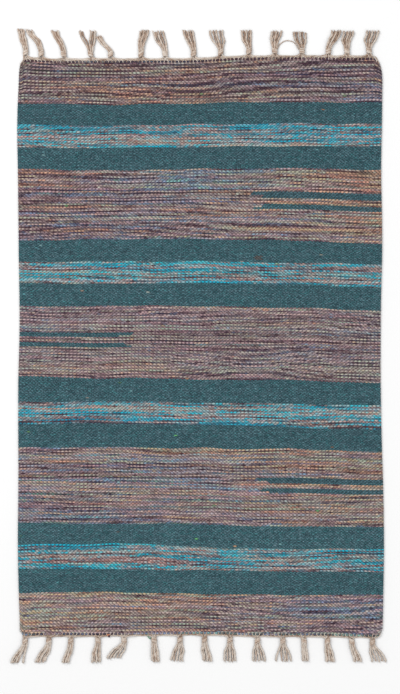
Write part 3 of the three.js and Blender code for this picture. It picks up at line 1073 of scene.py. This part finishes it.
def add_locks(bundle, end, tassel, rng):
    """Adds a tassel's yarns, which lie twisted together in its locks and part at the tips."""
    along = np.linspace(0, 1, STRAND_STEPS)
    opened = np.clip((along - OPENING.start) / (1 - OPENING.start), 0, 1)
    for number, yarns_held in enumerate(LOCKS):
        share = number / (len(LOCKS) - 1) - 0.5
        middle = lock_path(end, tassel, share, rng)
        turns = rng.uniform(1.1, 2.0) * rng.choice([-1, 1])
        # The darker tone of the thin locks is painted shade between the locks; the strays are the
        # yarns' own tone.
        tone = LOCK_TONE[yarns_held] + FRINGE_TONE[end.name] + rng.uniform(*LOCK_STRAYS)
        offset = LOCK[yarns_held] * (1 + OPENING.wider * opened)
        for n in range(yarns_held):
            angle = math.tau * (n / yarns_held + turns * along) + number
            path = middle.copy()
            path[:, 0] += offset * np.cos(angle)
            path[:, 2] += offset * np.sin(angle)
            stop = STRAND_STEPS - int(rng.integers(0, 2))
            radii = YARN.radius * rng.uniform(0.9, 1.08) * (1 + YARN.loosening * along[:stop])
            radii[-1] *= YARN.tip
            bundle.add(path[:stop], radii, tone + rng.uniform(*YARN_STRAYS))


def add_knot(bundle, knot, rng):
    """Adds the turns of a knot."""
    slant = rng.choice([-1, 1]) * rng.uniform(0.6, 1.0)
    width = KNOT.width / 2 - KNOT.wrap_radius
    height = KNOT.height / 2 - KNOT.wrap_radius
    for n in range(KNOT.wraps):
        start = rng.uniform(0, 0.8) + n * 0.35
        turn = start + np.linspace(0, KNOT.turns * math.tau, KNOT.turn_steps)
        from_middle = n - (KNOT.wraps - 1) / 2
        shrink = 1 - KNOT.shrink * abs(from_middle)
        lean, waver = slant * KNOT.lean * np.cos(turn), KNOT.waver * np.sin(2 * turn)
        x = knot[0] + width * shrink * np.cos(turn)
        y = knot[1] + from_middle * KNOT.pitch + lean + waver
        z = KNOT.height / 2 + height * shrink * np.sin(turn)
        bundle.add(stacked(x, y, z), KNOT.wrap_radius, rng.uniform(0.15, 0.85))


def tassel_piece(end, number, tassel, rng, material):
    """A tassel: the yarns, and the turns of the knot that holds them."""
    bundle = Bundle()
    add_locks(bundle, end, tassel, rng)
    add_knot(bundle, knot_centre(end, tassel), rng)
    stray = STRAYS.get((end.name, number))
    if stray:
        bundle.add(spline(stray, STRAND_STEPS), YARN.radius, STRAY_TONE)
    return bundle.piece(f"fringe_{end.name}_{number:02d}", [material])


# The lamps: where each stands, how wide it is and its power in watts. SKY is how bright the plain
# white surroundings are.
LAMPS = table("name at size power", [
    ("key", (-1.7, 1.5, 2.2), 1.8, 46.0),
    ("fill", (1.9, -1.2, 2.4), 2.4, 22.0),
])
SKY = 0.62
FLOOR = Settings(half=6.0, colour=(250, 250, 250), roughness=0.85)


def add_camera():
    data = bpy.data.cameras.new("camera")
    data.sensor_width = CAMERA.sensor
    long_side = max(VIEW.pixels) * (VIEW.pixel * MM)
    data.lens = CAMERA.sensor * (CAMERA.height - WEAVE.thickness * MM) / long_side
    data.clip_start, data.clip_end = CAMERA.near, CAMERA.far
    camera = add_object("camera", data)
    camera.location = (VIEW.across * MM, VIEW.along * MM, CAMERA.height)
    bpy.context.scene.camera = camera


def add_lights():
    for lamp in LAMPS:
        data = bpy.data.lights.new(lamp.name, "AREA")
        data.shape = "DISK"
        data.size = lamp.size
        data.energy = lamp.power
        light = add_object(lamp.name, data)
        x, y, z = light.location = lamp.at
        light.rotation_euler = (math.atan2(math.hypot(x, y), z), 0, math.atan2(x, -y))
    world = bpy.data.worlds.new("studio")
    world.use_nodes = True
    background = world.node_tree.nodes["Background"]
    background.inputs["Color"].default_value = (1.0, 1.0, 1.0, 1.0)
    background.inputs["Strength"].default_value = SKY
    bpy.context.scene.world = world


def add_floor():
    colour, roughness = rgb(*FLOOR.colour), FLOOR.roughness
    material = Nodes("pale_floor").finish(Base_Color=colour, Roughness=roughness)
    corners = np.array([(-1, -1, 0), (1, -1, 0), (1, 1, 0), (-1, 1, 0)]) * FLOOR.half
    make_mesh("floor", corners, [(0, 1, 2), (0, 2, 3)], [material])


def dress(piece, replaced):
    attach(piece, "root")
    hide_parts(replaced)


add_camera()
add_lights()
add_floor()

mauve_light = [(place, light) for place, light, _ in MAUVE.values()]
mauve_dark = [(place, dark) for place, _, dark in MAUVE.values()]
woven = {
    "mauve": melange("mauve_melange", mauve_light, mauve_dark),
    "turquoise": melange("turquoise_melange", TURQUOISE_LIGHT, TURQUOISE_DARK),
    "teal": teal_yarn(),
}
for number in range(len(YARNS)):
    band, flat = band_piece(number, woven)
    dress(band, "cloth")

cotton = cotton_yarn()
weft_ends = dyed_ends()
rng = np.random.default_rng(SEED.fringe)
for end in ENDS:
    dress(heading(end, rng, [cotton, weft_ends]), f"heading_{end.name}")
    for number, tassel in enumerate(end.tassels, start=1):
        made = tassel_piece(end, number, tassel, rng, cotton)
        dress(made, f"tassel_{end.name}_{number:02d}")

bpy.context.scene.view_settings.view_transform = "Standard"
